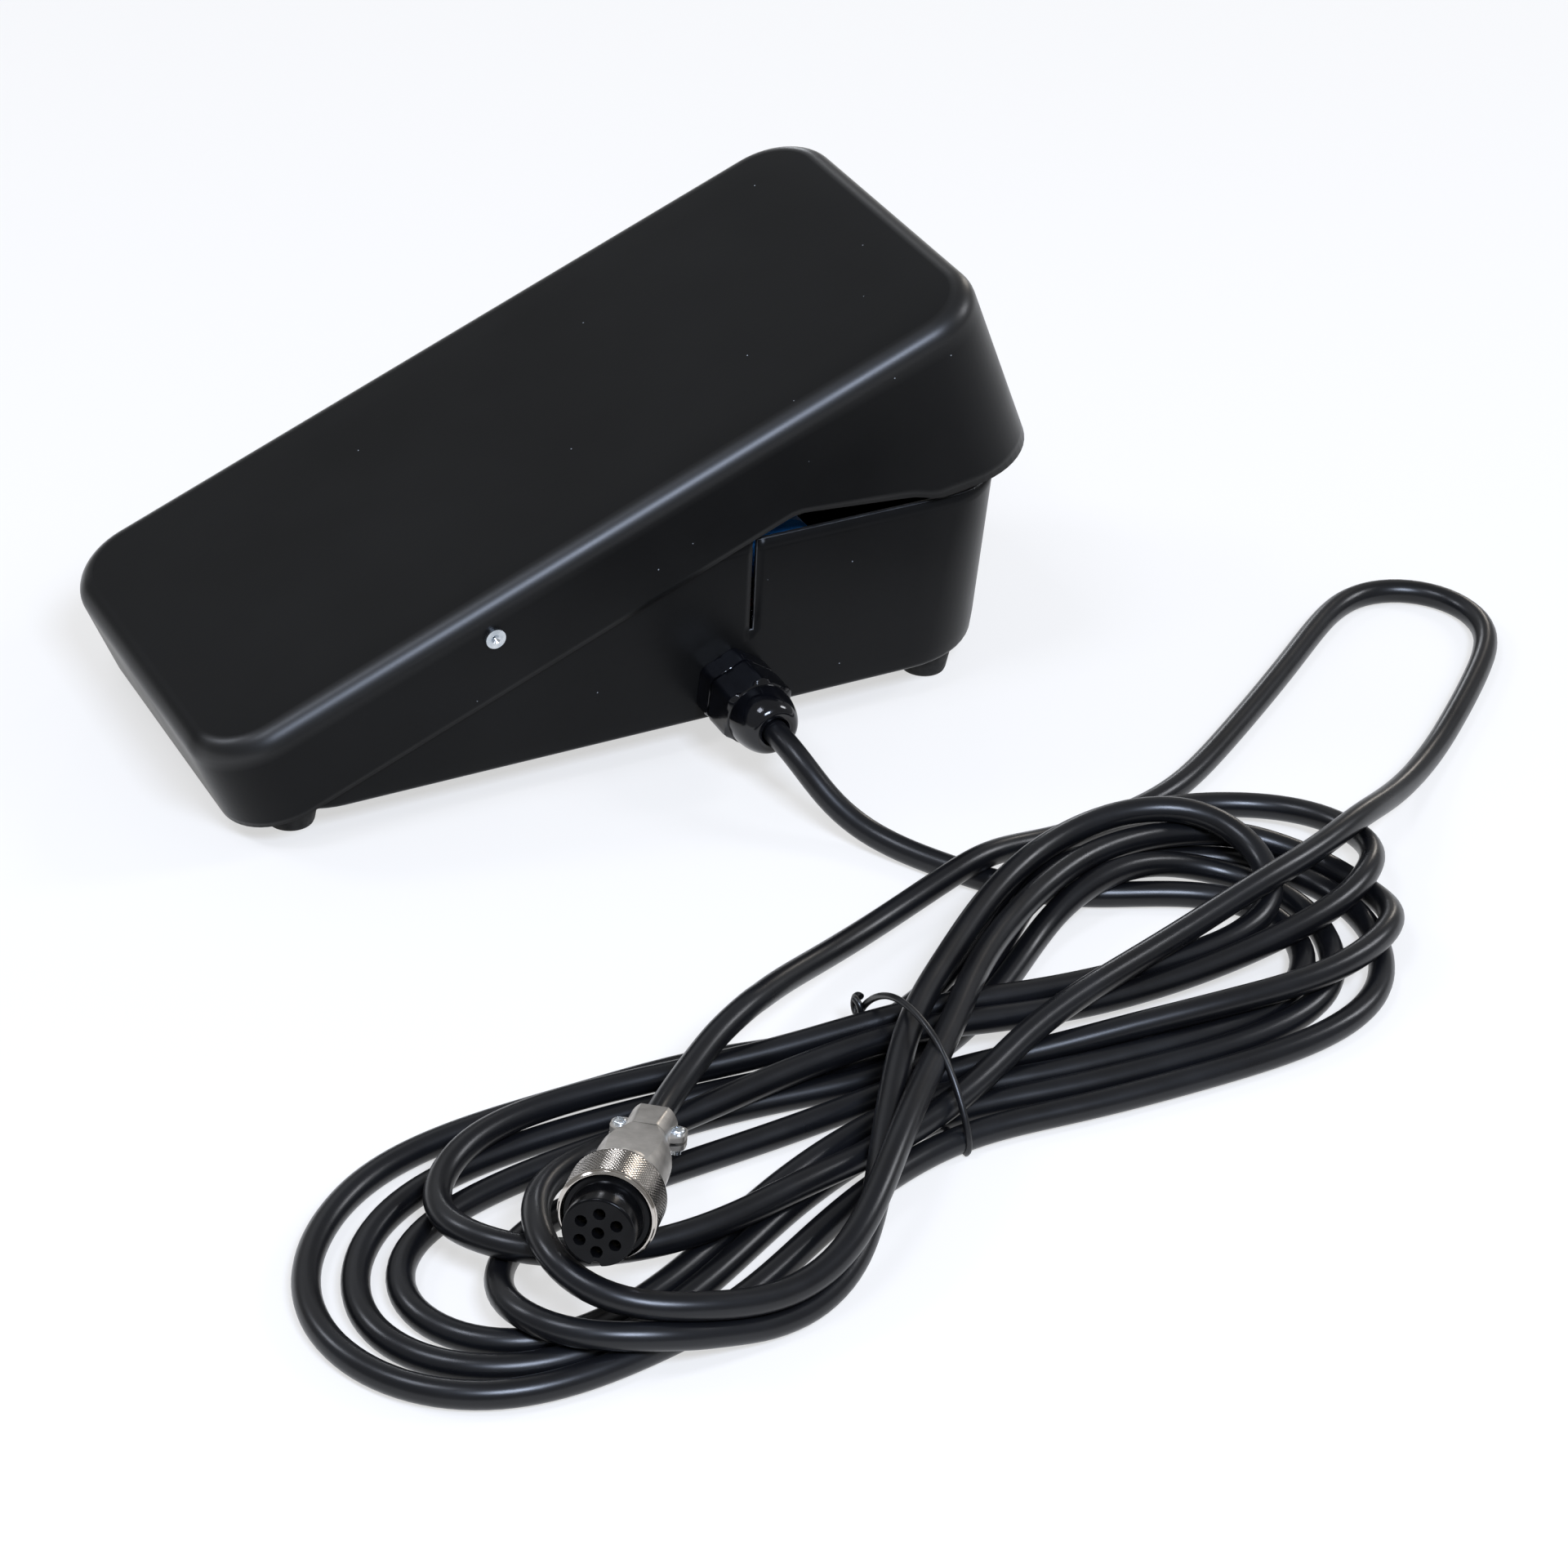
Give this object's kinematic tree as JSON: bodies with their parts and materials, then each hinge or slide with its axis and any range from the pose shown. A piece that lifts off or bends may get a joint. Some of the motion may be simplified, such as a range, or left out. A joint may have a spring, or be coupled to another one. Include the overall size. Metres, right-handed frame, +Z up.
{
  "type": "foot pedal",
  "caption": "Tilting foot pedal for a TIG welder: sprung steel cover on a base pan, geared potentiometer and switch inside, and a tied cable with a round connector.",
  "frame": {"origin": "on the floor under the middle of the pedal, cable left out", "axes": "+X from heel to toe, +Y away from the cable gland, +Z up"},
  "size_m": [0.464, 0.3683, 0.131],
  "materials": {
    "black_powder_coat": "satin black powder coat on pressed steel",
    "black_rubber": "moulded, matt",
    "zinc_plate": "bright zinc",
    "spring_steel": "oiled wire",
    "black_steel": "blackened screw",
    "white_nylon": "moulded",
    "blue_plastic": "moulded",
    "brass": "turned",
    "tinned_brass": "tinned",
    "black_plastic": "moulded",
    "red_plastic": "moulded",
    "red_wire": "insulated wire",
    "black_nylon": "moulded, glossy",
    "black_pvc": "extruded cable sheath",
    "tie_plastic": "plastic-covered wire",
    "nickel": "nickel plated",
    "insert_black": "moulded"
  },
  "bodies": {
    "base": {"base_pan": "black_powder_coat", "rubber_feet": "black_rubber", "foot_screws": "zinc_plate", "foot_nuts": "zinc_plate", "axle_bushes": "white_nylon", "control_bracket": "zinc_plate", "bracket_screws": "zinc_plate", "pot_body": "blue_plastic", "pot_bush": "brass", "pot_nut": "brass", "pot_terminals": "tinned_brass", "lower_spring_seat": "white_nylon", "return_spring": "spring_steel", "stop_posts": "zinc_plate", "stop_caps": "black_rubber", "post_screws": "zinc_plate", "switch_bracket": "zinc_plate", "switch_body": "black_plastic", "switch_terminals": "tinned_brass", "switch_screws": "zinc_plate", "switch_nuts": "zinc_plate", "gland_body": "black_nylon", "gland_lock_nut": "black_nylon", "gland_seal": "black_rubber", "gland_nut": "black_nylon", "cable_entry": "black_pvc", "core_wires": "red_wire", "plug_shell": "nickel", "plug_insert": "insert_black", "plug_contacts": "tinned_brass", "plug_clamp": "nickel", "clamp_screws": "zinc_plate", "cord_lead": "black_pvc", "cord_hank": "black_pvc", "cord_tail": "black_pvc", "cord_tie": "tie_plastic"},
    "pedal": {"pedal_cover": "black_powder_coat", "pivot_axle": "zinc_plate", "axle_clips": "zinc_plate", "gear_sector": "white_nylon", "sector_nuts": "zinc_plate", "upper_spring_seat": "white_nylon", "switch_tab": "zinc_plate"},
    "spindle": {"pot_spindle": "zinc_plate", "pinion": "white_nylon", "pinion_screw": "black_steel"},
    "lever": {"switch_lever": "zinc_plate"},
    "plunger": {"switch_plunger": "red_plastic"},
    "ring": {"coupling_ring": "nickel"}
  },
  "joints": [
    {"name": "pedal_hinge", "type": "hinge", "parent": "base", "child": "pedal", "pos_m": [-0.04868, 0, 0.0568], "axis": [0, 1, 0], "range_deg": [0, 12], "stiffness_Nm_per_rad": 4, "springref_deg": -12.61, "deforming": ["return_spring"]},
    {"name": "spindle_turn", "type": "hinge", "parent": "base", "child": "spindle", "pos_m": [0.05114, 0, 0.0508], "axis": [0, 1, 0], "range_deg": [-190, 0]},
    {"name": "lever_hinge", "type": "hinge", "parent": "base", "child": "lever", "pos_m": [-0.08368, 0.02515, 0.0391], "axis": [0, 1, 0], "range_deg": [-10, 0], "stiffness_Nm_per_rad": 0.0001, "springref_deg": -38.96},
    {"name": "plunger_slide", "type": "slide", "parent": "base", "child": "plunger", "axis": [0, 0, 1], "range_m": [0, 0.0014], "stiffness_N_per_m": 0.05, "springref_m": 0.0048},
    {"name": "ring_turn", "type": "hinge", "parent": "base", "child": "ring", "pos_m": [-0.117, -0.2788, 0.03339], "axis": [-0.6156, -0.7602, 0.2079], "continuous": true}
  ],
  "couplings": [
    {"joint": "spindle_turn", "follows": "pedal_hinge", "ratio": -15.667},
    {"joint": "lever_hinge", "follows": "pedal_hinge", "ratio": -0.8},
    {"joint": "plunger_slide", "follows": "pedal_hinge", "m_per_rad": 0.005}
  ]
}
